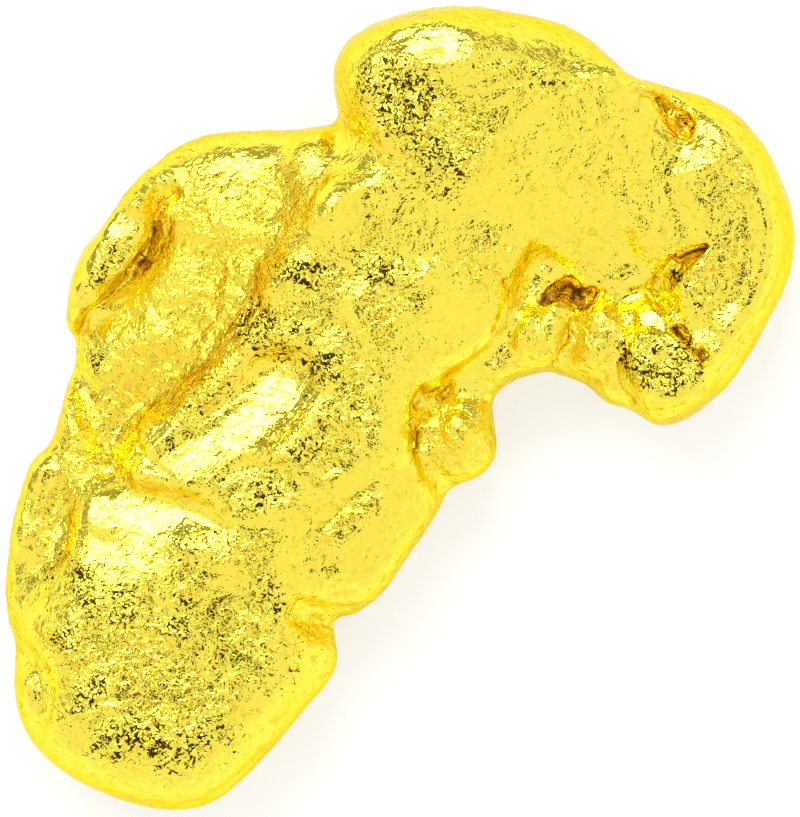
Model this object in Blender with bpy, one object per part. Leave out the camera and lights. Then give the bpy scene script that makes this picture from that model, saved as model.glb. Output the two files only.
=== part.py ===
"""A waterworn gold nugget.

The nugget is one solid, bent like a boomerang and lying on its flatter side. It is
fused from rounded lobes, each given by its outline in plan and its height. Broad
faces are then rubbed on them, and seams, ridges, dents and bosses are strokes along
a line.

Everything is written in millimetres and made metres at the end. +X runs across the
nugget, +Y along it, +Z up; the origin is under the middle, on the surface it rests on.
"""

import math
from typing import NamedTuple

import bmesh
import bpy
import numpy as np
from mathutils import Matrix, Vector, noise

MM = 0.001  # metres in a millimetre

# Driving dimensions, in millimetres.
VOXEL = 0.2  # grid on which the lobes are fused
BLEND_PASSES = 7  # rounds of smoothing that round off the joins between lobes
BALL_SIDES = 96
BALL_RINGS = 40
WORN_DEPTH = 0.13  # taken off the lowest points, where the nugget has rubbed flat
LUMP_SPACING = 3.4  # broad swellings left by rolling in a stream bed
LUMP_HEIGHT = 0.13
RIPPLE_SPACING = 1.1  # smaller waves on top of the swellings
RIPPLE_HEIGHT = 0.035
MOST_TRIANGLES = 9300

GOLD_COLOUR = (0.96, 0.80, 0.13, 1.0)


class Lobe(NamedTuple):
    """A rounded lump: outline in plan, heights of its underside, widest level and top."""

    outline: tuple
    centre: tuple
    floor: float
    waist: float
    top: float
    flatness: float  # 2 is a dome; higher gives a flat top with a rounded shoulder
    tilt: tuple = (0.0, 0.0)  # rise of the top per millimetre along X and Y


LOBES = {
    "foot": Lobe(
        (
            (-15.3, -7.8), (-14.0, -5.4), (-11.8, -3.4), (-8.4, -2.4),
            (-4.4, -4.4), (-2.5, -9.3), (-2.9, -10.9), (-4.0, -12.2),
            (-5.5, -13.9), (-7.1, -15.5), (-9.0, -16.1), (-11.4, -15.6),
            (-13.5, -14.6), (-14.9, -13.1), (-15.5, -11.3), (-15.5, -9.9),
        ),
        (-8.8, -11.0), -0.05, 2.9, 6.3, 3.4, (-0.02, -0.02),
    ),
    "arm": Lobe(
        (
            (-10.4, -1.6), (-9.2, 0.4), (-7.4, 2.4), (-6.2, 4.6),
            (-4.6, 6.3), (-2.7, 8.4), (0.8, 8.9), (4.0, 6.9),
            (5.0, 4.8), (4.5, 3.1), (3.0, 1.7), (1.5, -0.3), (1.6, -3.3),
            (0.1, -6.1), (-2.2, -8.1), (-4.8, -8.1), (-7.8, -6.5), (-10.3, -4.1),
        ),
        (-2.4, 0.6), 0.55, 3.2, 7.2, 2.6, (-0.06, 0.05),
    ),
    "saddle": Lobe(
        (
            (-9.4, -3.6), (-7.0, -1.6), (-4.2, -2.2), (-2.4, -4.6),
            (-2.6, -7.4), (-4.6, -9.2), (-7.4, -8.6), (-9.4, -6.4),
        ),
        (-5.8, -5.2), 0.9, 3.0, 6.35, 4.0,
    ),
    "head": Lobe(
        (
            (-2.4, 11.5), (-2.7, 12.9), (-2.6, 14.1), (-2.0, 14.9),
            (-0.8, 15.6), (1.0, 16.1), (2.8, 16.2), (4.8, 15.8),
            (6.9, 15.3), (8.4, 14.2), (9.8, 12.5), (11.0, 10.7),
            (11.7, 8.3), (10.4, 6.0), (8.0, 4.9), (5.6, 6.1),
            (3.2, 5.3), (0.0, 4.3), (-2.1, 5.3), (-2.5, 8.3),
        ),
        (3.4, 10.4), -0.06, 3.3, 7.2, 3.4, (-0.16, 0.20),
    ),
    "neck": Lobe(
        (
            (-3.3, 9.4), (-1.8, 11.2), (2.0, 11.4), (5.4, 9.8), (6.2, 7.2),
            (4.8, 4.8), (0.8, 3.0), (-3.4, 3.6), (-4.6, 6.2),
        ),
        (0.8, 7.2), 1.0, 3.2, 7.15, 3.2, (-0.05, 0.04),
    ),
    "shoulder": Lobe(
        (
            (8.2, 11.6), (10.0, 12.0), (12.0, 10.8), (12.9, 8.6),
            (12.6, 6.9), (11.2, 6.4), (9.4, 6.4), (8.0, 8.6),
        ),
        (10.5, 9.0), 1.4, 3.4, 6.75, 3.4, (-0.06, 0.06),
    ),
    "hook": Lobe(
        (
            (9.1, 13.2), (10.8, 12.9), (12.3, 12.5), (13.8, 11.6),
            (15.0, 10.0), (15.7, 8.1), (15.8, 6.7), (15.5, 5.1),
            (14.6, 3.3), (13.7, 1.7), (12.6, 0.5), (11.6, 1.3),
            (11.2, 3.5), (10.7, 5.5), (9.6, 7.5), (8.7, 10.3),
        ),
        (12.6, 7.4), -0.05, 2.9, 6.5, 2.6, (-0.06, 0.03),
    ),
    "nose": Lobe(
        (
            (8.6, 2.3), (9.0, 3.9), (10.2, 4.7), (11.4, 3.8),
            (12.6, 2.2), (12.7, 0.7), (11.6, -0.3), (10.4, -0.7),
            (9.6, -0.3), (9.0, 0.5), (8.7, 1.5),
        ),
        (10.4, 1.8), 0.5, 2.8, 6.3, 2.9, (-0.03, 0.08),
    ),
    "shelf": Lobe(
        (
            (-2.4, 11.2), (-3.0, 11.4), (-4.2, 11.2), (-5.6, 11.2),
            (-7.0, 11.2), (-8.2, 11.0), (-9.4, 10.3), (-10.4, 9.1),
            (-11.7, 7.1), (-12.8, 4.3), (-13.1, 2.7), (-13.0, 1.9),
            (-13.3, 0.8), (-12.5, -0.9), (-10.8, -2.4), (-8.0, -2.5),
            (-5.5, 0.3), (-2.6, 4.3), (-1.9, 8.3),
        ),
        (-8.0, 4.6), 0.9, 2.6, 4.7, 4.4, (0.22, 0.05),
    ),
    "lip": Lobe(
        (
            (-13.4, 3.2), (-13.4, 4.0), (-13.2, 5.3), (-12.7, 6.5),
            (-11.9, 7.5), (-11.3, 8.2), (-10.7, 9.0), (-9.9, 9.7),
            (-9.2, 9.7), (-8.8, 9.1), (-9.2, 7.8), (-9.6, 6.3),
            (-10.6, 4.9), (-11.9, 3.7), (-12.9, 2.8),
        ),
        (-11.4, 6.4), 1.3, 3.0, 5.9, 2.1, (0.0, 0.05),
    ),
    "ledge": Lobe(
        (
            (-13.0, 1.9), (-13.5, 0.7), (-13.7, -0.5), (-14.0, -1.3),
            (-14.8, -2.1), (-15.2, -3.3), (-15.6, -4.9), (-15.8, -6.9),
            (-15.6, -8.8), (-14.6, -9.3), (-13.5, -7.3), (-11.8, -4.5),
            (-10.2, -2.9), (-10.6, -1.3), (-11.9, 0.5),
        ),
        (-13.4, -3.6), 0.7, 2.5, 4.3, 3.0, (0.12, 0.0),
    ),
    "flank": Lobe(
        (
            (-2.1, -8.4), (-2.9, -7.3), (-3.1, -5.3), (-2.3, -3.7),
            (-0.7, -2.4), (1.2, -2.4), (1.8, -3.4), (1.4, -4.3),
            (1.0, -4.9), (0.1, -6.2), (-0.6, -7.3), (-1.3, -7.8),
        ),
        (-0.8, -5.0), 0.5, 2.6, 5.7, 3.0, (-0.06, 0.04),
    ),
    "knob": Lobe(
        (
            (1.2, -2.9), (0.8, -1.3), (1.2, -0.1), (2.2, 0.6),
            (3.4, 0.7), (3.7, 0.1), (3.9, -1.1), (3.9, -1.7),
            (3.5, -2.5), (2.6, -2.9), (1.8, -3.2),
        ),
        (2.4, -1.2), 1.0, 2.7, 5.1, 3.2, (-0.05, 0.05),
    ),
    "bridge": Lobe(
        (
            (1.6, -0.7), (1.5, 0.9), (3.0, 2.5), (4.0, 4.3),
            (4.8, 5.3), (6.4, 4.8), (7.0, 3.5), (6.5, 2.3),
            (6.0, 1.7), (4.8, 1.3), (3.9, 0.7), (2.8, 0.3),
        ),
        (4.2, 2.6), 1.1, 2.5, 5.0, 3.5, (-0.08, 0.10),
    ),
    "bed": Lobe(
        (
            (0.8, 0.9), (2.9, 1.3), (4.8, 2.2), (6.2, 2.6),
            (7.6, 2.0), (8.8, 1.5), (10.5, 1.4), (11.8, 2.6),
            (12.2, 4.6), (12.4, 7.4), (9.8, 8.2), (6.5, 7.6), (3.5, 6.8), (0.6, 4.6),
        ),
        (6.6, 4.9), 1.0, 2.3, 4.7, 5.0,
    ),
    "near_web": Lobe(
        (
            (4.2, 2.2), (4.4, 3.8), (5.3, 4.7), (6.5, 4.7),
            (7.1, 3.7), (6.7, 2.5), (6.0, 1.7), (5.0, 1.4),
        ),
        (5.6, 3.0), 1.2, 2.5, 5.4, 2.8, (-0.05, 0.12),
    ),
    "far_web": Lobe(
        (
            (6.0, 1.7), (6.4, 3.1), (7.2, 4.3), (8.3, 4.6),
            (9.6, 4.3), (9.9, 2.7), (9.5, 1.5), (9.2, 0.3),
            (8.6, 0.1), (7.9, 0.5), (7.7, 1.0), (6.8, 1.3),
        ),
        (8.1, 2.7), 1.2, 2.4, 5.2, 2.8, (0.0, 0.14),
    ),
}


class Face(NamedTuple):
    """A part of the top that gravel has rubbed towards a plane."""

    path: tuple
    width: float  # from the path to where the face ends
    rise: tuple  # of the plane per millimetre along X and Y


FACES = (
    Face(((8.6, 11.8), (10.0, 9.8), (11.4, 7.8)), 3.0, (-0.20, 0.07)),  # head's run into the hook
    Face(((-1.4, 7.6), (1.4, 7.2), (3.2, 6.4)), 2.2, (-0.17, 0.12)),  # neck
    Face(((-12.0, -5.2), (-9.8, -4.6), (-8.0, -3.9)), 1.9, (0.14, -0.31)),  # foot's upper slope
    Face(((-11.2, -9.2), (-8.8, -10.6), (-6.4, -9.4)), 3.2, (-0.02, -0.03)),  # foot's top
    Face(((-8.2, -2.0), (-6.4, -0.8), (-4.4, 0.9)), 1.9, (0.17, -0.28)),  # arm's upper slope
    Face(((-9.4, -2.4), (-7.8, -3.0), (-6.2, -3.0)), 1.7, (0.14, -0.26)),  # where those two meet
    Face(((-4.2, 5.0), (-3.0, 3.2), (-2.2, 0.8), (-2.6, -1.4)), 1.6, (0.0, 0.03)),  # arm's crest
    Face(((-0.6, 13.6), (0.6, 14.3), (2.0, 14.5)), 1.1, (0.14, -0.34)),  # head's upper slope
    Face(((0.4, 12.2), (2.2, 10.8)), 2.4, (-0.03, 0.02)),  # head's crest
    Face(((12.4, 9.6), (12.9, 8.4)), 1.2, (-0.06, 0.04)),  # hook's crest
    Face(((11.6, 4.6), (12.0, 3.6)), 1.0, (0.0, 0.0)),  # hook's tip
    Face(((9.9, 1.9), (11.2, 1.5)), 1.5, (0.0, 0.0)),  # nose
    Face(((-12.4, 4.4), (-12.0, 5.1)), 0.9, (0.0, 0.05)),  # lip's crown
    Face(((-11.4, 6.0), (-10.9, 6.9)), 0.8, (0.14, -0.31)),  # lip's upper slope
)


class Stroke(NamedTuple):
    """A line drawn over the gold that raises it, or sinks it where the height is negative."""

    path: tuple
    width: float  # from the line to where the stroke dies away
    height: float


TOP_STROKES = (
    # The long slope that falls from the arm and the foot to the shelf and the ledge.
    Stroke(((-13.8, -3.8), (-11.4, -2.0), (-9.6, -0.6)), 1.6, -0.3),
    # The crease that parts the arm's end from the foot on that slope.
    Stroke(((-10.7, -1.0), (-9.8, -1.9), (-9.2, -2.4)), 0.8, -0.2),
    # The valley between the arm, the foot and the small flank lobe.
    Stroke(((0.1, -2.5), (-1.3, -2.9), (-2.4, -3.9), (-3.4, -4.9), (-3.8, -6.2)), 1.0, -0.4),
    Stroke(((-2.0, -8.4), (-2.9, -8.6), (-3.8, -8.0)), 0.9, -0.5),
    # The step from the ledge up to the foot.
    Stroke(((-11.4, -2.2), (-12.6, -4.0), (-13.7, -5.6), (-14.7, -7.6)), 0.9, -0.2),
    # The raised rim along the shelf's far edge, and the trough inside it.
    Stroke(((-9.3, 9.9), (-8.0, 10.4), (-6.0, 10.5), (-4.2, 10.5)), 0.9, 0.16),
    Stroke(((-8.4, 9.1), (-6.8, 9.4), (-5.0, 9.2)), 0.8, -0.12),
    # The slopes that carry the shelf and the ledge up into the head and the foot.
    Stroke(((-3.3, 10.0), (-3.4, 8.4), (-3.7, 6.9)), 1.7, 0.75),
    Stroke(((-12.6, -3.4), (-10.8, -2.6), (-8.4, -2.2)), 1.8, 0.4),
    # The seam under the curled lip.
    Stroke(((-8.8, 8.5), (-9.3, 7.4), (-9.7, 6.3), (-10.7, 5.0), (-11.9, 3.9), (-13.0, 2.7)), 0.5, -0.5),
    # The seam between hook and nose.
    Stroke(((12.1, 6.2), (11.2, 6.0), (10.4, 5.3), (10.3, 4.6), (10.9, 3.6), (11.5, 2.8), (12.2, 1.9)), 0.4, -0.4),
    # The seam under the head's lower edge, and on round the arm's end.
    Stroke(((10.2, 4.8), (8.8, 4.5), (7.6, 4.9), (6.4, 5.5), (5.4, 6.3)), 0.5, -0.3),
    Stroke(((5.4, 6.1), (4.9, 5.4), (4.9, 4.2), (4.4, 3.0), (3.2, 1.9), (2.0, 1.2)), 0.5, -0.25),
    # The seam round the knob.
    Stroke(((1.0, 0.4), (0.8, -0.9), (1.1, -2.2), (1.8, -3.0)), 0.6, -0.45),
    Stroke(((1.0, 0.2), (2.2, 0.7), (3.4, 1.0)), 0.5, -0.3),
    # The creases between the lumps of the web, which end in the notches of the bay.
    Stroke(((6.9, 4.2), (6.7, 3.4), (6.5, 2.5), (6.0, 1.7)), 0.4, -0.15),
    Stroke(((9.0, 3.6), (8.8, 2.6), (8.9, 1.6), (9.2, 0.4)), 0.4, -0.15),
    Stroke(((7.4, 1.6), (8.4, 1.5), (9.0, 1.8)), 0.4, -0.12),
    # The heel's fold, low on the foot's outer edge.
    Stroke(((-15.6, -9.3), (-14.6, -10.4), (-14.2, -11.6), (-14.6, -12.6)), 0.7, -0.5),
    # Ridges and furrows on the ledge and the shelf's lower end.
    Stroke(((-14.2, -2.3), (-14.7, -3.6), (-15.1, -5.2)), 0.8, 0.35),
    Stroke(((-13.3, -1.2), (-13.6, -3.0), (-13.5, -4.8)), 0.6, -0.2),
    Stroke(((-12.9, 1.4), (-12.4, -0.2), (-11.9, -1.7)), 0.6, -0.4),
    Stroke(((-11.4, 0.2), (-10.9, -0.9), (-11.0, -2.2)), 0.9, 0.3),
    # Swellings on the shelf and the foot.
    Stroke(((-11.6, 1.7), (-10.0, 2.8), (-8.6, 4.9)), 1.8, 0.25),
    Stroke(((-7.6, 7.6), (-5.2, 7.2)), 1.5, 0.22),
    Stroke(((-5.4, -1.0), (-3.4, 0.6), (-2.4, 2.4)), 1.2, 0.15),
    # The head's flat brow, the small plate under it and the fold beside the pocket.
    Stroke(((-0.9, 14.1), (1.4, 14.7), (4.0, 14.4)), 1.4, 0.2),
    Stroke(((3.3, 6.4), (4.6, 6.6), (5.9, 6.3)), 0.7, 0.2),
    Stroke(((9.2, 13.1), (9.9, 12.2), (10.7, 11.2)), 0.7, -0.5),
    # The hook's outer ridge.
    Stroke(((12.6, 11.2), (14.0, 8.9), (14.3, 6.4), (13.6, 4.0)), 1.5, 0.15),
)

UNDER_STROKES = (
    Stroke(((-9.8, -3.4), (-7.0, -5.2), (-3.6, -6.6)), 1.8, -0.6),
    Stroke(((-1.6, 9.6), (1.6, 7.4), (3.6, 4.9)), 1.5, -0.55),
    Stroke(((9.6, 12.2), (10.4, 9.0), (10.0, 5.6)), 1.3, -0.6),
    Stroke(((-9.6, 8.4), (-10.2, 4.6), (-11.8, 1.2)), 1.1, -0.5),
    Stroke(((-4.9, 4.4), (-2.2, 1.4), (-0.8, -2.2)), 2.2, 0.4),
    Stroke(((-13.8, -11.2), (-11.0, -11.6), (-8.4, -13.8), (-6.8, -14.8)), 1.2, -0.45),
    Stroke(((-6.0, -8.2), (-5.2, -10.4), (-4.0, -11.6)), 1.3, -0.4),
    Stroke(((2.2, 14.2), (5.4, 12.8), (7.0, 9.8)), 1.3, -0.45),
    Stroke(((-0.8, 12.6), (1.2, 10.6)), 1.0, -0.35),
    Stroke(((13.4, 9.8), (13.9, 7.0), (12.6, 4.2)), 0.9, 0.2),
    Stroke(((1.6, -1.2), (3.2, 1.0), (5.6, 3.0)), 0.8, -0.4),
    Stroke(((-7.6, 8.4), (-5.6, 5.6), (-6.4, 2.4)), 1.3, 0.4),
    Stroke(((-13.0, -3.2), (-11.6, -6.0), (-12.4, -8.0)), 1.1, -0.4),
)

# Hollows pressed straight in, from the top and from underneath: where, how wide, how deep.
TOP_POCKETS = (
    ((10.6, 12.1), 0.75, 1.1),
    ((11.2, 11.3), 0.75, 1.3),
    ((6.6, 4.75), 0.55, 0.9),
    ((7.3, 4.55), 0.45, 0.6),
    ((11.7, 6.2), 0.45, 0.7),
    ((10.95, 3.1), 0.4, 0.45),
    ((0.8, -1.3), 0.45, 0.5),
    ((-9.8, 6.6), 0.5, 0.4),
)

UNDER_POCKETS = (
    ((-1.4, 2.8), 1.1, 0.7),
    ((0.4, 0.8), 0.8, 0.6),
    ((-7.4, -0.6), 1.0, 0.5),
    ((5.2, 9.0), 0.9, 0.6),
    ((-10.2, -13.2), 0.8, 0.5),
    ((12.4, 8.0), 0.7, 0.4),
)


def clear_scene():
    """Starts from an empty scene."""
    for thing in list(bpy.data.objects):
        bpy.data.objects.remove(thing)


def native_gold():
    material = bpy.data.materials.new("native_gold")
    material.use_nodes = True
    shader = material.node_tree.nodes["Principled BSDF"]
    shader.inputs["Base Color"].default_value = GOLD_COLOUR
    shader.inputs["Metallic"].default_value = 1.0
    shader.inputs["Roughness"].default_value = 0.25
    material.diffuse_color = GOLD_COLOUR
    return material


def smooth_curve(points, steps, closed):
    """A smooth line through the points (Catmull-Rom), with this many steps to a span."""
    points = np.array(points, float)
    if closed:
        padded = np.vstack([points[-1:], points, points[:2]])
    else:
        padded = np.vstack([2 * points[0] - points[1], points, 2 * points[-1] - points[-2]])
    share = np.linspace(0, 1, steps, endpoint=False)[:, None]
    line = []
    for before, start, end, after in zip(padded, padded[1:], padded[2:], padded[3:]):
        line.append(
            start
            + 0.5 * share * (end - before)
            + share**2 * (before - 2.5 * start + 2 * end - 0.5 * after)
            + share**3 * (1.5 * (start - end) + 0.5 * (after - before))
        )
    if not closed:
        line.append(points[-1:])
    return np.vstack(line)


def reach(lobe, bearing):
    """How far the lobe's outline lies from its centre, on each bearing in radians."""
    ring = smooth_curve(lobe.outline, 12, closed=True) - lobe.centre
    angles = np.arctan2(ring[:, 1], ring[:, 0])
    order = np.argsort(angles)
    radii = np.hypot(ring[:, 0], ring[:, 1])
    return np.interp(bearing, angles[order], radii[order], period=math.tau)


def add_lobe(work, lobe):
    """Adds a ball to the bmesh and pulls it out to the lobe's outline and heights."""
    made = bmesh.ops.create_uvsphere(
        work, u_segments=BALL_SIDES, v_segments=BALL_RINGS, radius=1.0
    )["verts"]
    ball = np.array([vertex.co for vertex in made])
    bearing = np.arctan2(ball[:, 1], ball[:, 0])
    lift = np.clip(np.abs(ball[:, 2]), 0, 1)
    across = np.sqrt(1 - lift**2) ** (2 / lobe.flatness)
    plan = reach(lobe, bearing) * across
    x = plan * np.cos(bearing)
    y = plan * np.sin(bearing)
    tops = lobe.top - lobe.waist + lobe.tilt[0] * x + lobe.tilt[1] * y
    rise = np.where(ball[:, 2] > 0, tops * lift, (lobe.floor - lobe.waist) * lift)
    for vertex, dx, dy, dz in zip(made, x, y, rise):
        vertex.co = (lobe.centre[0] + dx, lobe.centre[1] + dy, lobe.waist + dz)


def lobe_balls():
    """One mesh that holds every lobe, still as separate balls."""
    work = bmesh.new()
    for lobe in LOBES.values():
        add_lobe(work, lobe)
    mesh = bpy.data.meshes.new("lobes")
    work.to_mesh(mesh)
    work.free()
    return mesh


def modified(mesh, kind, **settings):
    """What a modifier makes of the mesh."""
    blank = bpy.data.objects.new("blank", mesh)
    bpy.context.collection.objects.link(blank)
    modifier = blank.modifiers.new("change", kind)
    for name, value in settings.items():
        setattr(modifier, name, value)
    graph = bpy.context.evaluated_depsgraph_get()
    changed = bpy.data.meshes.new_from_object(blank.evaluated_get(graph))
    bpy.data.objects.remove(blank)
    return changed


def fused(mesh):
    """The mesh's outer skin: the voxel remesh joins whatever overlaps."""
    return modified(mesh, "REMESH", mode="VOXEL", voxel_size=VOXEL)


def thinned(skin):
    """The skin with no more triangles than a faceted solid should have."""
    triangles = sum(len(face.vertices) - 2 for face in skin.polygons)
    return modified(
        skin, "DECIMATE", ratio=MOST_TRIANGLES / triangles, use_collapse_triangulate=True
    )


def smoothed(skin, passes, factor=0.5):
    """The skin with each vertex drawn towards its neighbours."""
    work = bmesh.new()
    work.from_mesh(skin)
    for _ in range(passes):
        bmesh.ops.smooth_vert(
            work, verts=work.verts, factor=factor, use_axis_x=True, use_axis_y=True, use_axis_z=True
        )
    work.to_mesh(skin)
    work.free()
    skin.update()


def read_skin(skin):
    """The skin's points and normals, as arrays."""
    count = len(skin.vertices)
    points = np.empty(count * 3, np.float32)
    skin.vertices.foreach_get("co", points)
    normals = np.empty(count * 3, np.float32)
    skin.vertex_normals.foreach_get("vector", normals)
    return points.reshape(-1, 3).astype(float), normals.reshape(-1, 3).astype(float)


def write_points(skin, points):
    skin.vertices.foreach_set("co", points.astype(np.float32).ravel())
    skin.update()


def distance_to_line(points, line):
    """Each point's distance in plan from the line."""
    nearest = np.full(len(points), np.inf)
    for start, end in zip(line, line[1:]):
        along = end - start
        share = np.clip((points[:, :2] - start) @ along / (along @ along), 0, 1)
        gap = points[:, :2] - start - share[:, None] * along
        nearest = np.minimum(nearest, np.hypot(gap[:, 0], gap[:, 1]))
    return nearest


def fade(distance, width):
    """1 on the line, falling smoothly to 0 at the width."""
    return np.clip(1 - (distance / width) ** 2, 0, 1) ** 2


def near_line(points, line, width):
    """Which points lie in the line's box in plan, widened on every side."""
    low, high = line.min(axis=0) - width, line.max(axis=0) + width
    return ((points[:, :2] > low) & (points[:, :2] < high)).all(axis=1)


def draw_strokes(skin, strokes, side):
    """Raises or sinks the skin along each stroke, on the top (side 1) or underneath (-1)."""
    for stroke in strokes:
        points, normals = read_skin(skin)
        line = smooth_curve(stroke.path, 6, closed=False)
        near = near_line(points, line, stroke.width)
        facing = np.clip(normals[near, 2] * side / 0.4, 0, 1)
        push = stroke.height * fade(distance_to_line(points[near], line), stroke.width) * facing
        points[near] += normals[near] * push[:, None]
        write_points(skin, points)


def rub_faces(skin):
    """Draws the top towards each face's plane, less so over the outer half of its width."""
    for face in FACES:
        points, normals = read_skin(skin)
        line = smooth_curve(face.path, 6, closed=False)
        near = near_line(points, line, face.width)
        share = np.clip(2 - 2 * distance_to_line(points[near], line) / face.width, 0, 1)
        share *= share * (3 - 2 * share) * np.clip(normals[near, 2] / 0.4, 0, 1)
        plane = (points[near, :2] - line.mean(axis=0)) @ face.rise
        level = np.average(points[near, 2] - plane, weights=share)
        points[near, 2] += (level + plane - points[near, 2]) * share
        write_points(skin, points)


def press_pockets(skin, pockets, side):
    """Sinks each pocket straight in, from the top (side 1) or from underneath (-1)."""
    for centre, width, depth in pockets:
        points, normals = read_skin(skin)
        gap = np.hypot(points[:, 0] - centre[0], points[:, 1] - centre[1])
        facing = np.clip(normals[:, 2] * side / 0.2, 0, 1)
        points[:, 2] -= side * depth * fade(gap, width) * facing
        write_points(skin, points)


def wave(points, spacing):
    """Seedless noise of about this spacing, from -1 to 1."""
    return np.array([noise.noise(Vector(point) / spacing) for point in points])


def roll_in_stream(skin):
    """Broad swellings and smaller ripples all over."""
    points, normals = read_skin(skin)
    push = LUMP_HEIGHT * wave(points, LUMP_SPACING) + RIPPLE_HEIGHT * wave(points, RIPPLE_SPACING)
    write_points(skin, points + normals * push[:, None])


def set_down(skin):
    """Rubs the lowest points flat and moves the skin so that they lie on Z = 0, centred."""
    points, _ = read_skin(skin)
    rest = points[:, 2].min() + WORN_DEPTH
    points[:, 2] = np.maximum(points[:, 2] - rest, 0)
    middle = (points[:, :2].max(axis=0) + points[:, :2].min(axis=0)) / 2
    points[:, :2] -= middle
    write_points(skin, points)


def make_nugget(material):
    skin = fused(lobe_balls())
    smoothed(skin, BLEND_PASSES)
    rub_faces(skin)
    draw_strokes(skin, TOP_STROKES, 1)
    draw_strokes(skin, UNDER_STROKES, -1)
    press_pockets(skin, TOP_POCKETS, 1)
    press_pockets(skin, UNDER_POCKETS, -1)
    roll_in_stream(skin)
    skin = fused(skin)
    smoothed(skin, 2)
    skin = thinned(skin)
    set_down(skin)
    skin.transform(Matrix.Scale(MM, 4))
    skin.name = "gold_nugget"
    skin.materials.append(material)
    nugget = bpy.data.objects.new("gold_nugget", skin)
    bpy.context.collection.objects.link(nugget)


def main():
    clear_scene()
    make_nugget(native_gold())


main()
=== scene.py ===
"""Gold nugget: the finished nugget, worked over its CAD solid, on a light table.

The nugget's skin is worked in millimetres and made metres at the end. Rubbed faces are
planes laid along a line, seams, pits and small lumps are strokes along one, and the
hammered skin between them is noise.
"""

import math
from functools import partial
from typing import NamedTuple

import bmesh
import bpy
import numpy as np
from mathutils import Matrix, Vector, noise


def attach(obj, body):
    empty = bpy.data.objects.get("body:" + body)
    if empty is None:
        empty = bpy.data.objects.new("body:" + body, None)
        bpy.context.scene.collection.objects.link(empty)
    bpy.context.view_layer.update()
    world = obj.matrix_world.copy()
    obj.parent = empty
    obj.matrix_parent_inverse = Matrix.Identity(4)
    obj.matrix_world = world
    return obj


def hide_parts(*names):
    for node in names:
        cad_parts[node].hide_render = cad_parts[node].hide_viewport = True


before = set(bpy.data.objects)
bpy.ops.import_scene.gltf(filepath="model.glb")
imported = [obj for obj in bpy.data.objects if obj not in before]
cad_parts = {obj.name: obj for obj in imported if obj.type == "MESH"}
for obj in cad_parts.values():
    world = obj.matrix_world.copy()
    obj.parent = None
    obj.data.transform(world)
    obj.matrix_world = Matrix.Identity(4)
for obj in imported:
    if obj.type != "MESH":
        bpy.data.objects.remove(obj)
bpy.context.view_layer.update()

bl_info = {
    "name": "Gold nugget",
    "version": (1, 0, 0),
    "blender": (4, 5, 0),
    "location": "3D View > Sidebar > Nugget",
    "description": "Builds a waterworn gold nugget and the light table it lies on",
    "category": "Add Mesh",
}

MM = 0.001  # metres in a millimetre
NODE = "gold_nugget"

# Working the skin: lengths are in millimetres, passes are rounds of smoothing.
LINE_STEPS = 6  # steps to a span of a smooth line
TOP_LEVEL = 2  # faces and strokes change nothing below this height
FACE_EDGE = 0.7  # share of a face's width over which it fades out
FACE_UPWARD = 0.4  # upward part of a normal under which a face acts less and less
STROKE_UPWARD = 0.3  # the same for a stroke
FIRST_PASSES = 14  # take the solid's facets away
LAST_PASSES = 1  # ease the edges that the strokes leave
WANDER = 0.16  # how far strokes and marks stray from their lines
WANDER_SPACING = 0.7
PATCH_SPACING = 2.6  # rougher and smoother patches
DIMPLE_SPACING = 0.95
SMALL_DIMPLE_SPACING = 0.55
GRIT_SPACING = 0.3
NICK_SPACING = 0.36
PIT_WIDTH = 0.14

# Marking the surface
CREVICE_PASSES = 60  # give the wide, even skin that a crevice's depth is measured from
CREVICE_DEPTH = 0.25  # of a full crevice
STAIN = 2.2  # that a seam or pit holds for each millimetre of its depth, up to 1
BOUNCE_LIGHT_AND_STAIN = (0.6, 1.7)  # crevice plus stain at which the painted orange of bounced light, with the stain's red, starts and is strongest
STAINED = (0.8, 1.3)  # stain plus half the crevice at which it starts to brown, and is brownest
PECKED_PATCH_SPACING = 1.3
MARKED_LEVELS = (1.5, 3.0)  # heights between which wear and pecking come in

# The stage, in metres
SHEET_HALF = 0.6  # from the sheet's middle to its edges
SHEET_GAP = 0.02 * MM  # the sheet lies this far under the nugget, so that no two faces coincide
VIEW_HEIGHT = 32.68 * MM  # what the camera sees from top to bottom
WIDEST_LEVEL = 3 * MM  # height of the nugget's widest outline


class Stroke(NamedTuple):
    """A line, or one point, on the top that raises the gold or sinks it, in millimetres."""

    path: tuple
    width: float  # from the line to where the stroke dies away
    height: float


class Face(NamedTuple):
    """A face rubbed on the top along a line: its width each side and its rise along X and Y."""

    path: tuple
    width: float
    rise: tuple


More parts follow.
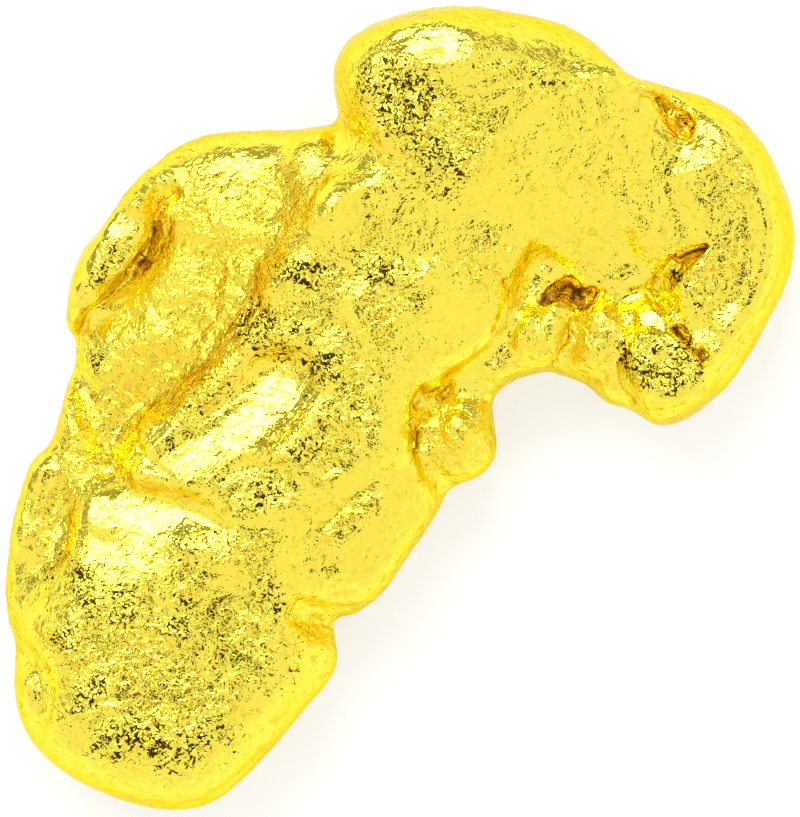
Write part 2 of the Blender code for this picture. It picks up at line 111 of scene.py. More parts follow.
FACES = (
    Face(((-9.2, -1.9), (-7.4, -1.2), (-5.8, -0.2), (-4.9, 0.6)), 2.4, (0.17, -0.28)),  # arm slope
    Face(((-7.8, -3.4), (-6.4, -3.5), (-4.9, -2.9)), 1.1, (0.03, 0.0)),  # pecked step below it
    Face(((-11.8, -4.0), (-9.8, -4.2), (-8.2, -4.7)), 1.6, (0.14, -0.32)),  # foot's upper slope
    Face(((0.5, 14.4), (1.8, 14.2)), 1.3, (0.12, -0.32)),  # head's upper slope
    Face(((10.0, 9.8), (11.2, 8.6), (11.8, 7.8)), 1.6, (-0.17, 0.07)),  # head's run into the hook
    Face(((12.4, 9.0), (12.9, 7.6), (13.1, 6.2), (12.8, 4.8)), 1.9, (-0.1, 0.1)),  # hook's crest
    Face(((9.9, 2.2), (10.7, 1.7)), 1.3, (0.0, 0.01)),  # nose's crown
    Face(((9.9, 3.6), (10.4, 3.3)), 0.8, (0.13, -0.32)),  # nose's upper slope
    Face(((12.0, 2.9), (12.4, 2.5)), 0.8, (0.14, -0.3)),  # bank beyond the nose
    Face(((11.9, 11.1), (12.2, 10.7)), 0.55, (0.2, -0.32)),  # bank beyond the shoulder's pocket
    Face(((-8.6, 8.4), (-7.0, 8.8), (-5.6, 8.4)), 1.9, (0.14, -0.1)),  # shelf's upper end
    Face(((-11.9, 5.4), (-11.4, 6.3)), 0.85, (0.0, 0.02)),  # lip's crown
    Face(((-11.3, 7.0), (-10.9, 7.5)), 0.7, (0.14, -0.31)),  # lip's upper slope
)

# Small forms: most stand up, and a few are shallow hollows.
FORMS = (
    # The lip's crown, and the hook's inner rim.
    Stroke(
        ((-9.7, 9.2), (-10.4, 8.5), (-11.0, 7.7), (-11.5, 6.7), (-12.1, 5.6), (-12.5, 4.7)),
        0.9,
        0.16,
    ),
    Stroke(((12.28, 6.18), (11.88, 5.78), (11.4, 5.22), (10.92, 4.7)), 0.22, 0.12),
    # The web's lumps.
    Stroke(((6.3, 3.7), (6.1, 2.9), (5.9, 2.3)), 0.85, 0.28),
    Stroke(((6.2, 4.0), (6.7, 3.9)), 0.4, 0.15),
    Stroke(((5.0, 3.5), (4.8, 2.8)), 0.7, 0.2),
    Stroke(((7.9, 3.7), (8.2, 2.9), (7.8, 2.2)), 0.95, 0.26),
    Stroke(((6.55, 2.9), (6.5, 2.6)), 0.3, 0.18),
    Stroke(((8.2, 0.8), (8.8, 0.6)), 0.5, 0.12),
    # The arm's end, the knob and the flank.
    Stroke(((1.6, 4.7), (3.6, 4.3)), 1.6, 0.22),
    Stroke(((2.2, -0.5), (2.5, -1.3)), 0.8, 0.2),
    Stroke(((3.3, 0.7), (3.4, 0.4)), 0.4, 0.2),
    Stroke(((1.5, 0.1), (2.3, 0.3)), 0.4, 0.14),
    Stroke(((-0.8, -4.5), (-2.0, -6.1)), 1.1, 0.14),
    Stroke(((-2.5, -0.6), (-1.8, -0.6)), 0.5, 0.08),
    # The foot's low swells, with the pecked hollows between them.
    Stroke(((-8.4, -6.6), (-7.2, -8.0), (-6.2, -10.4)), 2.6, 0.26),
    Stroke(((-10.8, -10.9), (-8.8, -11.4)), 1.6, 0.1),
    # The easy slope from the shelf up to the arm.
    Stroke(((-6.0, 5.0), (-6.9, 2.8), (-8.2, 0.8), (-9.6, -0.7)), 1.5, 0.34),
    # Small humps on the shelf and the arm, and the heel.
    Stroke(((-4.56, 9.62), (-4.08, 9.86)), 0.3, 0.1),
    Stroke(((-11.6, 2.5), (-9.6, 2.9), (-7.8, 2.3)), 0.9, 0.12),
    Stroke(((-7.8, 3.9), (-7.5, 3.6)), 0.4, 0.1),
    Stroke(((-6.9, 4.8), (-6.7, 4.5)), 0.45, 0.1),
    Stroke(((-4.96, 4.66), (-4.56, 5.22)), 0.35, 0.1),
    Stroke(((-4.0, 5.5), (-3.4, 5.8)), 0.35, 0.12),
    Stroke(((-4.16, 4.5), (-3.6, 4.82)), 0.35, 0.09),
    Stroke(((-14.8, -10.9),), 0.4, 0.14),
    Stroke(((-13.0, -11.82), (-12.08, -11.94), (-11.2, -11.82)), 0.25, 0.05),
    # The head: its brow, the long hollow of the neck and the edge over the shoulder's pocket.
    Stroke(((-1.9, 13.9), (-1.1, 14.7), (0.1, 15.1), (1.6, 15.3)), 0.6, 0.08),
    Stroke(((0.2, 13.9), (1.3, 14.3), (2.5, 13.9)), 1.0, 0.14),
    Stroke(((-0.6, 13.2), (-0.5, 11.9), (-0.2, 10.3), (-0.3, 9.2)), 0.6, -0.08),
    Stroke(((9.2, 13.2), (9.6, 12.4), (10.1, 11.7), (10.6, 11.0)), 0.24, 0.1),
)

# Seams, cracks and folds: all sink, and hold a little iron stain.
SEAMS = (
    # The seam that the lip curls over.
    Stroke(
        ((-8.96, 8.6), (-9.3, 8.26), (-9.5, 7.8), (-9.7, 7.1), (-9.9, 6.4), (-10.2, 5.8)), 0.2, -0.3
    ),
    Stroke(
        ((-10.2, 5.8), (-10.6, 5.2), (-11.0, 4.8), (-11.6, 4.3), (-12.2, 3.8), (-13.0, 2.7)),
        0.2,
        -0.26,
    ),
    Stroke(((-9.75, 7.2), (-9.95, 6.4), (-10.7, 5.3)), 0.17, -0.4),
    # Hook and nose: the seam between them, with its three holes, and the hook's edges.
    Stroke(((12.15, 6.4), (11.76, 6.28), (11.4, 6.12), (11.15, 5.98)), 0.21, -0.7),
    Stroke(((11.1, 5.96), (10.7, 5.66), (10.3, 5.3)), 0.12, -0.16),
    Stroke(((10.2, 5.3), (10.16, 5.08)), 0.12, -0.3),
    Stroke(((10.1, 4.9), (9.7, 4.7), (9.2, 4.5), (8.8, 4.3)), 0.12, -0.1),
    Stroke(
        ((10.2, 4.9), (10.3, 4.3), (10.5, 3.8), (10.7, 3.4), (11.1, 2.9), (11.5, 2.6)), 0.13, -0.14
    ),
    Stroke(((10.68, 3.46), (10.98, 3.1), (11.36, 2.72)), 0.19, -0.6),
    Stroke(((11.95, 2.3), (12.15, 1.9)), 0.18, -0.45),
    Stroke(((11.44, 2.58), (11.8, 2.3)), 0.12, -0.2),
    Stroke(
        ((9.6, 0.0), (10.2, -0.2), (10.9, 0.0), (11.7, 0.54), (12.56, 1.46), (13.5, 2.74)),
        0.16,
        -0.07,
    ),
    Stroke(((13.5, 2.74), (14.5, 4.06), (15.24, 5.4), (15.5, 6.54)), 0.16, -0.07),
    Stroke(((9.36, 3.8), (9.1, 2.7), (8.7, 1.8), (8.7, 1.0), (9.2, 0.3)), 0.16, -0.18),
    # The hollow under the head, and the cracks between the web's lumps.
    Stroke(((5.8, 4.3), (6.4, 4.75), (6.9, 4.8), (7.5, 4.6)), 0.34, -0.5),
    Stroke(((6.8, 4.9), (7.25, 4.4)), 0.42, -0.6),
    Stroke(((7.5, 4.75), (8.16, 4.56), (8.76, 4.22)), 0.14, -0.22),
    Stroke(((7.08, 4.14), (6.88, 3.58), (6.68, 2.84), (6.27, 2.0)), 0.14, -0.22),
    Stroke(((8.28, 2.26), (8.0, 1.62), (8.24, 1.14)), 0.12, -0.14),
    Stroke(((5.2, 4.34), (5.4, 3.62), (5.2, 2.82), (5.44, 2.1)), 0.12, -0.12),
    Stroke(((4.0, 1.86), (4.6, 2.1), (5.2, 1.86)), 0.12, -0.12),
    # The seam round the arm's end, and the little plate under the head.
    Stroke(
        ((3.36, 6.0), (3.5, 5.66), (4.28, 5.1), (4.24, 4.58), (4.1, 4.1), (3.8, 3.26)), 0.1, -0.09
    ),
    Stroke(((3.8, 3.26), (3.44, 2.74), (2.88, 2.3), (2.24, 1.9)), 0.1, -0.07),
    Stroke(((4.2, 5.18), (4.24, 4.94)), 0.14, -0.3),
    Stroke(((3.88, 6.3), (4.6, 6.42), (5.28, 6.26)), 0.12, -0.14),
    Stroke(((5.84, 6.34), (5.8, 5.94), (5.6, 5.62)), 0.13, -0.22),
    # The cavities behind the knob.
    Stroke(((0.96, 0.74), (0.76, 0.38), (0.6, 0.14)), 0.18, -0.3),
    Stroke(((2.08, 0.78), (1.76, 0.5), (1.52, 0.3)), 0.15, -0.25),
    Stroke(((0.72, -0.94), (0.68, -1.5)), 0.2, -0.45),
    Stroke(((0.28, -0.58), (0.92, -0.3), (1.6, 0.14)), 0.13, -0.16),
    Stroke(((0.56, -1.02), (0.92, -0.54), (1.2, -0.14)), 0.13, -0.16),
    Stroke(((2.8, 1.3), (3.44, 1.54)), 0.12, -0.15),
    # The valley that parts the flank from the arm and the foot.
    Stroke(((0.1, -2.5), (-1.1, -2.9), (-2.3, -3.9), (-3.3, -4.9)), 0.3, -0.08),
    Stroke(((-2.4, -3.86), (-1.0, -4.14)), 0.15, -0.1),
    Stroke(((-2.36, -8.86), (-2.92, -8.62), (-3.48, -8.38)), 0.25, -0.15),
    # Short cracks on the shelf.
    Stroke(((-7.8, 7.78), (-7.52, 7.3), (-7.28, 6.74)), 0.12, -0.14),
    Stroke(((-5.16, 6.7), (-4.84, 7.06), (-4.56, 7.22)), 0.12, -0.14),
    Stroke(((-11.64, 2.7), (-11.36, 2.98), (-11.08, 3.14)), 0.12, -0.14),
    Stroke(((-12.32, 2.34), (-12.08, 1.86)), 0.12, -0.12),
    Stroke(((-11.88, 2.26), (-11.76, 1.7)), 0.12, -0.12),
    # Where shelf, arm, foot and ledge meet.
    Stroke(((-10.4, -1.26), (-9.92, -2.06), (-8.96, -2.9)), 0.22, -0.14),
    Stroke(((-13.0, 1.74), (-12.8, 0.34)), 0.12, -0.14),
    Stroke(((-12.08, -0.94), (-11.76, -1.58), (-11.12, -2.14)), 0.16, -0.14),
    Stroke(((-14.72, -3.58), (-14.84, -4.54), (-14.72, -5.5)), 0.16, -0.1),
    # The heel's fold and the line round the foot's edge.
    Stroke(
        ((-15.48, -9.26), (-15.12, -9.86), (-14.52, -10.4), (-14.3, -11.3), (-14.2, -11.9)),
        0.2,
        -0.15,
    ),
    Stroke(
        ((-15.1, -12.8), (-14.3, -13.8), (-13.5, -14.6), (-12.3, -15.3), (-10.7, -15.7)), 0.2, -0.05
    ),
    Stroke(
        ((-10.7, -15.7), (-9.2, -15.9), (-7.8, -15.6), (-6.6, -14.7), (-5.1, -13.4)), 0.2, -0.05
    ),
    # The pocket at the head's shoulder.
    Stroke(((9.5, 12.75), (10.1, 12.4), (10.7, 11.95)), 0.17, -0.35),
    Stroke(((10.9, 11.7), (11.3, 11.2)), 0.5, -0.35),
    Stroke(((11.0, 11.75), (11.45, 11.6)), 0.17, -0.25),
    Stroke(((10.8, 11.3), (11.15, 11.0)), 0.17, -0.25),
)

# Single pits: place and depth.
PITS = tuple(
    Stroke((place,), PIT_WIDTH, -depth)
    for place, depth in (
        ((10.16, 4.66), 0.35), ((6.36, 2.7), 0.25), ((6.72, 2.86), 0.2), ((6.24, 1.98), 0.25),
        ((3.44, 5.7), 0.25), ((4.92, 2.58), 0.2), ((3.64, 2.02), 0.2), ((8.88, 3.14), 0.2),
        ((8.92, 2.82), 0.2), ((8.52, 2.7), 0.2), ((3.32, 0.26), 0.3), ((1.48, -1.82), 0.2),
        ((1.24, -2.18), 0.2), ((-4.08, -6.18), 0.25), ((-5.6, 7.54), 0.2), ((-2.6, 6.1), 0.2),
        ((-2.56, 5.5), 0.2), ((-2.1, 5.6), 0.2), ((-1.6, 5.3), 0.2), ((-2.0, 5.98), 0.2),
        ((10.85, 11.5), 0.35), ((11.3, 11.35), 0.35), ((11.1, 10.95), 0.3), ((10.35, 12.15), 0.3),
        ((13.3, 9.4), 0.2), ((13.2, 8.6), 0.2), ((3.3, 6.0), 0.2), ((4.2, 6.4), 0.2),
    )
)

# Marks, whose height is how strong they are. How the gold has worn: above 0 it is rubbed
# smooth, below 0 it is sheltered and left rough.
WEAR = (
    Stroke(((-8.6, 8.4), (-8.0, 5.6), (-9.6, 2.2)), 3.6, -0.6),
    Stroke(((-4.6, 8.6), (-5.6, 6.4), (-7.6, 2.6), (-10.4, 0.2)), 2.4, -0.6),
    Stroke(((-12.4, -1.4), (-13.4, -4.4)), 2.2, -0.6),
    Stroke(((3.4, 5.2), (5.2, 4.0), (7.6, 2.6)), 2.4, -0.4),
    Stroke(((1.4, -0.6), (2.6, -1.4)), 2.0, -0.4),
    Stroke(((-1.4, -4.4), (0.4, -3.2)), 1.7, -0.3),
    Stroke(((9.2, 4.7), (10.0, 4.2), (10.5, 3.4)), 0.8, 0.7),
    Stroke(((-12.1, 7.6), (-12.9, 4.6)), 1.0, 1.0),
    Stroke(((-15.0, -12.6), (-12.6, -15.0), (-9.2, -15.8), (-6.2, -14.2), (-3.2, -10.6)), 1.9, 1.0),
    Stroke(((1.6, 4.2), (3.4, 3.6), (2.2, 1.6)), 1.6, 0.8),
    Stroke(((14.6, 10.6), (15.4, 7.2), (14.4, 3.2), (12.3, 0.2)), 1.3, 0.9),
    Stroke(((7.6, 12.6), (9.4, 9.6)), 2.2, 0.5),
    Stroke(((-11.8, -4.2), (-9.8, -4.4), (-8.2, -4.8)), 1.6, 0.8),
    Stroke(((-9.2, -2.0), (-6.4, -0.6), (-4.4, 0.8)), 1.5, 0.5),
    Stroke(((0.2, 14.2), (2.0, 14.2)), 1.2, 0.8),
    Stroke(((-14.0, 0.0), (-14.6, -3.0)), 1.0, 0.6),
)

# Where stones have pecked the gold most: deep, close-set pits, with painted dark specks in them
# that stand in for reflections of the dark opening overhead.
PECKED = (
    Stroke(((-13.2, -7.0), (-11.4, -7.8), (-9.2, -8.4)), 1.9, 1.0),
    Stroke(((-13.2, -9.4), (-12.2, -10.9)), 1.3, 0.8),
    Stroke(((-12.6, -12.4), (-10.4, -13.4), (-7.4, -13.0)), 1.9, 1.0),
    Stroke(((-5.4, -7.4), (-4.6, -9.0), (-4.8, -10.6)), 1.3, 0.8),
    Stroke(((-8.4, -5.6), (-6.8, -5.4)), 1.1, 0.8),
    Stroke(((-3.2, -5.0), (-2.8, -6.2)), 0.9, 0.8),
    Stroke(((-8.2, -3.1), (-6.2, -3.4), (-4.6, -2.6), (-3.2, -0.8)), 1.4, 0.8),
    Stroke(((-5.4, 3.2), (-3.4, 2.0), (-1.8, 0.6)), 1.9, 0.7),
    Stroke(((-3.8, 5.2), (-1.8, 5.5), (0.4, 4.6)), 1.6, 0.8),
    Stroke(((-4.4, 5.4), (-5.8, 3.4), (-7.0, 1.4), (-8.6, -0.4)), 1.2, 0.5),
    Stroke(((-11.9, 5.3), (-11.4, 6.3)), 0.8, 1.0),
    Stroke(((-12.3, 2.3), (-12.0, 1.5)), 0.5, 0.8),
    Stroke(((-0.4, 12.8), (0.8, 11.4), (1.6, 9.6)), 2.1, 1.25),
    Stroke(((3.2, 13.8), (6.2, 12.8)), 1.2, 0.5),
    Stroke(((9.6, 2.3), (10.2, 1.5), (11.1, 1.7)), 1.2, 2.6),
    Stroke(((11.2, 5.2), (12.0, 4.4), (12.2, 3.2)), 0.9, 0.8),
    Stroke(((12.9, 10.0), (13.3, 8.8), (12.6, 7.6)), 0.8, 0.6),
    Stroke(((10.9, 11.8), (11.4, 11.2)), 0.5, 1.0),
)

# Drawn-out folds on the arm's upper slope
FOLDS_AT = (-7.0, -0.9)
FOLDS_REACH = 3.8
FOLDS_BEARING = 36  # degrees from +X towards +Y
FOLDS_SPACING = 0.42
FOLDS_STRETCH = 5  # how many times longer than wide they are
FOLDS_HEIGHT = 0.07


class NuggetSkin(bpy.types.PropertyGroup):
    """How finely the nugget's skin is worked."""

    grid: bpy.props.FloatProperty(
        name="Grid",
        description="Spacing of the skin's points while it is worked",
        default=0.105 * MM,
        min=0.08 * MM,
        max=0.4 * MM,
        unit="LENGTH",
    )
    hammer_height: bpy.props.FloatProperty(
        name="Hammering",
        description="Height of the dimples left by tumbling in gravel",
        default=0.022 * MM,
        unit="LENGTH",
    )
    grit_height: bpy.props.FloatProperty(
        name="Grit marks",
        description="Height of the fine pits and scratches between the dimples",
        default=0.022 * MM,
        unit="LENGTH",
    )
    most_triangles: bpy.props.IntProperty(
        name="Most triangles",
        description="The finished skin is thinned to this many triangles",
        default=190000,
    )


def linear(code):
    """An sRGB hex colour as linear red, green and blue."""
    parts = [int(code[place : place + 2], 16) / 255 for place in (1, 3, 5)]
    return tuple(c / 12.92 if c <= 0.04045 else ((c + 0.055) / 1.055) ** 2.4 for c in parts)


def colour(name, description, code):
    """A colour setting, from its sRGB hex value."""
    return bpy.props.FloatVectorProperty(
        name=name, description=description, default=linear(code), subtype="COLOR", min=0, max=1
    )


class NuggetGold(bpy.types.PropertyGroup):
    """Colours of the gold and the depth of its finest marks."""

    face: colour("Gold", "Clean, worn gold", "#FCE852")
    sheltered: colour("Sheltered", "Duller gold where little has rubbed it", "#F9DC42")
    # Painted shade: fine pits darkened to a deeper yellow, as shade and bounced light in them would
    # make them
    pit_shade: colour("Pitted", "Gold at the bottom of fine pits", "#E6C22E")
    # Painted light: the orange of light bounced between gold walls, painted into creases by their
    # depth, and near seams the red of their stain
    crevice: colour("Crevice", "Redder gold down in the creases", "#F2BC30")
    # Painted reflection: dark specks that stand in for the dark opening overhead seen in the pecked
    # gold, not grit
    painted_dark_specks: colour("Grime", "Dark grit held in the pecked hollows", "#43340A")
    depth: colour("Deepest", "Brown iron stain at the bottom of pits", "#5A3008")
    edge: colour("Edge", "Gold seen at a low angle", "#FAEC9A")
    grit_depth: bpy.props.FloatProperty(
        name="Grit depth",
        description="Depth of the grit marks too small for the mesh",
        default=0.12 * MM,
        unit="LENGTH",
    )


class LightTable(bpy.types.PropertyGroup):
    """The table and the white tent over it."""

    table_colour: colour("Table", "Colour of the table's white sheet", "#A9A9A7")
    opening_colour: colour("Opening", "The dark opening overhead", "#2E220A")
    tent_light: bpy.props.FloatProperty(
        name="Tent", description="Brightness of the white tent", default=1.0, min=0.0
    )
    key_light: bpy.props.FloatProperty(
        name="Key", description="Brightness of the lamp's patch on the tent", default=8.5, min=0.0
    )
    lens: bpy.props.FloatProperty(
        name="Lens",
        description="Focal length in millimetres",
        default=350.0,
        subtype="DISTANCE_CAMERA",
    )


# Shaping the skin


def smooth_curve(points):
    """A smooth line through the points (Catmull-Rom)."""
    points = np.array(points, float)
    if len(points) == 1:
        return points
    padded = np.vstack([2 * points[0] - points[1], points, 2 * points[-1] - points[-2]])
    share = np.linspace(0, 1, LINE_STEPS, endpoint=False)[:, None]
    line = []
    for before, start, end, after in zip(padded, padded[1:], padded[2:], padded[3:]):
        line.append(
            start
            + 0.5 * share * (end - before)
            + share**2 * (before - 2.5 * start + 2 * end - 0.5 * after)
            + share**3 * (1.5 * (start - end) + 0.5 * (after - before))
        )
    line.append(points[-1:])
    return np.vstack(line)


def distance_to_line(points, line):
    """Each point's distance in plan from the line."""
    if len(line) == 1:
        return np.hypot(*(points[:, :2] - line[0]).T)
    nearest = np.full(len(points), np.inf)
    for start, end in zip(line, line[1:]):
        along = end - start
        share = np.clip((points[:, :2] - start) @ along / (along @ along), 0, 1)
        gap = points[:, :2] - start - share[:, None] * along
        nearest = np.minimum(nearest, np.hypot(gap[:, 0], gap[:, 1]))
    return nearest


def fade(distance, width):
    """1 on the line, falling smoothly to 0 at the width."""
    return np.clip(1 - (distance / width) ** 2, 0, 1) ** 2


def eased(values, low, high):
    """0 below low, 1 above high, and a smooth step between."""
    share = np.clip((values - low) / (high - low), 0, 1)
    return share * share * (3 - 2 * share)


def read_points(mesh):
    points = np.empty(len(mesh.vertices) * 3, np.float32)
    mesh.vertices.foreach_get("co", points)
    return points.reshape(-1, 3).astype(float)


def read_normals(mesh):
    normals = np.empty(len(mesh.vertices) * 3, np.float32)
    mesh.vertex_normals.foreach_get("vector", normals)
    return normals.reshape(-1, 3).astype(float)


def write_points(mesh, points):
    mesh.vertices.foreach_set("co", points.astype(np.float32).ravel())
    mesh.update()


def neighbour_mean(mesh):
    """Returns a function that gives each point's value as the mean of its neighbours'."""
    edges = np.empty(len(mesh.edges) * 2, np.int32)
    mesh.edges.foreach_get("vertices", edges)
    ends = edges.reshape(-1, 2)
    here = np.concatenate([ends[:, 0], ends[:, 1]])
    there = np.concatenate([ends[:, 1], ends[:, 0]])
    count = np.maximum(np.bincount(here, minlength=len(mesh.vertices)), 1)

    def mean(values):
        columns = [
            np.bincount(here, weights=column[there], minlength=len(count)) / count
            for column in values.T
        ]
        return np.stack(columns, axis=1)

    return mean


def smoothed(points, mean, passes):
    for _ in range(passes):
        points = points + 0.5 * (mean(points) - points)
    return points


def modified(mesh, kind, **settings):
    """What a modifier makes of the mesh."""
    blank = bpy.data.objects.new("blank", mesh)
    bpy.context.scene.collection.objects.link(blank)
    modifier = blank.modifiers.new("change", kind)
    for name, value in settings.items():
        setattr(modifier, name, value)
    graph = bpy.context.evaluated_depsgraph_get()
    changed = bpy.data.meshes.new_from_object(blank.evaluated_get(graph))
    bpy.data.objects.remove(blank)
    return changed


def evened(mesh, grid):
    """The mesh's skin laid anew as even small squares."""
    return modified(mesh, "REMESH", mode="VOXEL", voxel_size=grid)


def solid_in_mm():
    """A merged copy of the CAD solid's mesh, in millimetres."""
    work = bmesh.new()
    work.from_mesh(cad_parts[NODE].data)
    bmesh.ops.remove_doubles(work, verts=work.verts, dist=1e-6)
    bmesh.ops.scale(work, verts=work.verts, vec=(1 / MM,) * 3)
    mesh = bpy.data.meshes.new("skin")
    work.to_mesh(mesh)
    work.free()
    return mesh


def wave(points, spacing, offset=0.0):
    """Repeatable noise of about this spacing, from -1 to 1. Another offset gives other noise."""
    shift = Vector((offset, offset, offset))
    return np.array([noise.noise(Vector(point) / spacing + shift) for point in points])


def wandered(points):
    """Places in plan, shifted a little by noise so that a line drawn through them wanders."""
    shift = [wave(points, WANDER_SPACING, offset) for offset in (11.0, 17.0)]
    return points[:, :2] + WANDER * np.stack(shift, axis=1)


def near_stroke(places, stroke):
    """Which places a stroke reaches, and its strength there from 0 to 1."""
    line = smooth_curve(stroke.path)
    low, high = line.min(axis=0) - stroke.width, line.max(axis=0) + stroke.width
    near = ((places > low) & (places < high)).all(axis=1)
    return near, fade(distance_to_line(places[near], line), stroke.width)


def on_top(points, normals, upward):
    """1 on the top, and less, down to 0, where a normal's upward part is below this."""
    return np.clip(normals[:, 2] / upward, 0, 1) * (points[:, 2] > TOP_LEVEL)


def rub_faces(mesh):
    """Draws the top towards each face's plane, and less so away from its line."""
    for face in FACES:
        points = read_points(mesh)
        line = smooth_curve(face.path)
        gap = distance_to_line(points, line)
        share = eased(1 - gap / face.width, 0, FACE_EDGE)
        share *= on_top(points, read_normals(mesh), FACE_UPWARD)
        plane = (points[:, :2] - line.mean(axis=0)) @ face.rise
        level = np.average(points[:, 2] - plane, weights=share)
        points[:, 2] += (level + plane - points[:, 2]) * share
        write_points(mesh, points)


def draw_strokes(mesh):
    """Raises or sinks the top along each stroke."""
    points = read_points(mesh)
    places = wandered(points)
    for stroke in FORMS + SEAMS + PITS:
        near, strength = near_stroke(places, stroke)
        normals = read_normals(mesh)[near]
        push = stroke.height * strength * on_top(points[near], normals, STROKE_UPWARD)
        points[near] += normals * push[:, None]
        write_points(mesh, points)


def folds(points):
    """Long low folds, drawn out along the arm's upper slope, from -1 to 1."""
    turn = math.radians(FOLDS_BEARING)
    along = points[:, 0] * math.cos(turn) + points[:, 1] * math.sin(turn)
    across = points[:, 1] * math.cos(turn) - points[:, 0] * math.sin(turn)
    drawn_out = np.stack([along / FOLDS_STRETCH, across, points[:, 2]], axis=1)
    here = fade(np.hypot(points[:, 0] - FOLDS_AT[0], points[:, 1] - FOLDS_AT[1]), FOLDS_REACH)
    return here * wave(drawn_out, FOLDS_SPACING, 2.0)


def level_of(places, strokes):
    """The strokes' heights added up at each place."""
    level = np.zeros(len(places))
    for stroke in strokes:
        near, strength = near_stroke(places, stroke)
        level[near] += stroke.height * strength
    return level


def tumble(mesh, skin):
    """Dimples from tumbling in gravel, and the grit marks between them."""
    points = read_points(mesh)
    normals = read_normals(mesh)
    # Rubbed gold is nearly smooth and sheltered gold is rough, both in patches.
    rough = np.clip(0.8 - 0.7 * level_of(points[:, :2], WEAR), 0.15, 1.5)
    patchy = rough * np.clip(1.0 + 1.1 * wave(points, PATCH_SPACING, 7.0), 0.3, 1.8)
    small_dimples = 1.2 * patchy * wave(points, SMALL_DIMPLE_SPACING, 3.0)
    dimples = 1.5 * wave(points, DIMPLE_SPACING) + small_dimples
    nicks = np.clip(wave(points, NICK_SPACING, 9.0) - 0.15, 0, 1)
    grit = wave(points, GRIT_SPACING, 5.0) - 1.1 * nicks
    push = skin.hammer_height / MM * dimples + skin.grit_height / MM * grit * patchy
    push += FOLDS_HEIGHT * folds(points)
    write_points(mesh, points + normals * push[:, None])


def store(mesh, name, values):
    layer = mesh.attributes.new(name, "FLOAT", "POINT")
    layer.data.foreach_set("value", values.astype(np.float32))


def crevice(mesh):
    """How far each point lies below the skin round it, in crevice depths."""
    points = read_points(mesh)
    wide = smoothed(points, neighbour_mean(mesh), CREVICE_PASSES)
    depth = np.einsum("ij,ij->i", wide - points, read_normals(mesh))
    return np.clip(depth / CREVICE_DEPTH, -1, 2)


def stain(points):
    """How much iron stain the seams and pits hold at each point: the deeper, the more."""
    places = wandered(points)
    held = np.zeros(len(points))
    for stroke in SEAMS + PITS:
        near, strength = near_stroke(places, stroke)
        held[near] = np.maximum(held[near], strength * min(1, -STAIN * stroke.height))
    return np.where(points[:, 2] > TOP_LEVEL, held, 0)


def mark_surface(mesh):
    """Stores what the gold's material reads at each point, from 0 up to about 1."""
    points = read_points(mesh)
    sunk, held = crevice(mesh), stain(points)
    top = eased(points[:, 2], *MARKED_LEVELS)
    store(mesh, "worn", np.clip(0.5 + 0.5 * level_of(points[:, :2], WEAR) * top, 0, 1))
    patchy = np.clip(1 + 1.4 * wave(points, PECKED_PATCH_SPACING, 21.0), 0.2, 1.6)
    # Pecking deepens the grit relief and sets where the dark reflection specks are painted
    store(mesh, "pecked", np.clip(level_of(wandered(points), PECKED) * patchy, 0, 1.3) * top)
    # Painted orange of light bounced in creases, from their depth, plus the seams' real stain
    store(mesh, "bounce_light_and_stain", eased(sunk + held, *BOUNCE_LIGHT_AND_STAIN))
    store(mesh, "stained", eased(held + 0.5 * sunk, *STAINED))


def worked_skin(skin):
    """The nugget's finished mesh, in metres."""
    grid = skin.grid / MM
    mesh = evened(solid_in_mm(), grid)
    write_points(mesh, smoothed(read_points(mesh), neighbour_mean(mesh), FIRST_PASSES))
    rub_faces(mesh)
    draw_strokes(mesh)
    mesh = evened(mesh, grid)
    write_points(mesh, smoothed(read_points(mesh), neighbour_mean(mesh), LAST_PASSES))
    tumble(mesh, skin)
    triangles = sum(len(face.vertices) - 2 for face in mesh.polygons)
    if triangles > skin.most_triangles:
        ratio = skin.most_triangles / triangles
        mesh = modified(mesh, "DECIMATE", ratio=ratio, use_collapse_triangulate=True)
    points = read_points(mesh)
    points[:, 2] = np.maximum(points[:, 2], 0)  # nothing hangs below the flats it rests on
    write_points(mesh, points)
    mark_surface(mesh)
    mesh.transform(Matrix.Scale(MM, 4))
    mesh.shade_smooth()
    return mesh


# Materials


def add_node(tree, kind, inputs=(), **settings):
    """Adds a node with its settings. Each input is a value, a socket, or a node whose
    first output it takes."""
    node = tree.nodes.new(kind)
    for name, value in settings.items():
        setattr(node, name, value)
    for name, value in dict(inputs).items():
        if isinstance(value, bpy.types.Node):
            value = next(output for output in value.outputs if output.enabled)
        if isinstance(value, bpy.types.NodeSocket):
            tree.links.new(value, node.inputs[name])
        else:
            node.inputs[name].default_value = value
    return node


def per_metre(spacing):
    """The scale of a pattern whose marks are this many millimetres apart."""
    return 1 / (spacing * MM)


def span(value, low, high, to_low=0.0, to_high=1.0):
    """Inputs for a Map Range node: takes low to to_low and high to to_high."""
    return {"Value": value, "From Min": low, "From Max": high, "To Min": to_low, "To Max": to_high}


